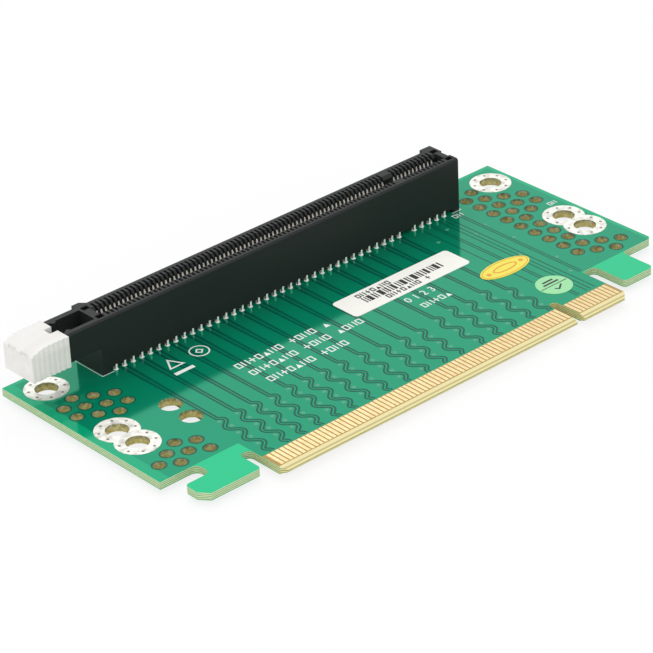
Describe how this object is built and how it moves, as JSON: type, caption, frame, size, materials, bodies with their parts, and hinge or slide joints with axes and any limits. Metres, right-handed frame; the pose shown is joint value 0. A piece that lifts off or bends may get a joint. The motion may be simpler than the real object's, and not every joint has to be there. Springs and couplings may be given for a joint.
{
  "type": "expansion card riser",
  "caption": "Flat circuit board with an edge connector along one side and a raised card slot with a sliding card retainer along the other.",
  "frame": {"origin": "middle of the key notch at the tip of the edge connector, on the board's underside", "axes": "+X along the contacts towards pin 1, +Y from the edge connector to the rear edge, +Z out of the board on the slot side"},
  "size_m": [0.122, 0.0569, 0.0139],
  "materials": {
    "board": "gloss",
    "gold": "polished",
    "tin": "satin",
    "black_plastic": "matte",
    "contact": "satin",
    "ivory_plastic": "satin",
    "white_sticker": "matte",
    "yellow_sticker": "matte",
    "green_sticker": "matte"
  },
  "bodies": {
    "riser": {"circuit_board": "board", "fingers_top_long": "gold", "fingers_top_short": "gold", "fingers_bottom_long": "gold", "fingers_bottom_short": "gold", "screw_pads_rear": "tin", "screw_pads_paired": "tin", "slot_housing": "black_plastic", "contacts_front_outer": "contact", "contacts_front_inner": "contact", "contacts_rear_inner": "contact", "contacts_rear_outer": "contact", "solder_joints_front_outer": "tin", "solder_joints_front_inner": "tin", "solder_joints_rear_inner": "tin", "solder_joints_rear_outer": "tin", "barcode_label": "white_sticker", "oval_label": "yellow_sticker", "round_label": "green_sticker"},
    "retainer": {"card_retainer": "ivory_plastic"}
  },
  "joints": [
    {"name": "retainer_slide", "type": "slide", "parent": "riser", "child": "retainer", "axis": [-1, 0, 0], "range_m": [0, 0.0046]}
  ]
}
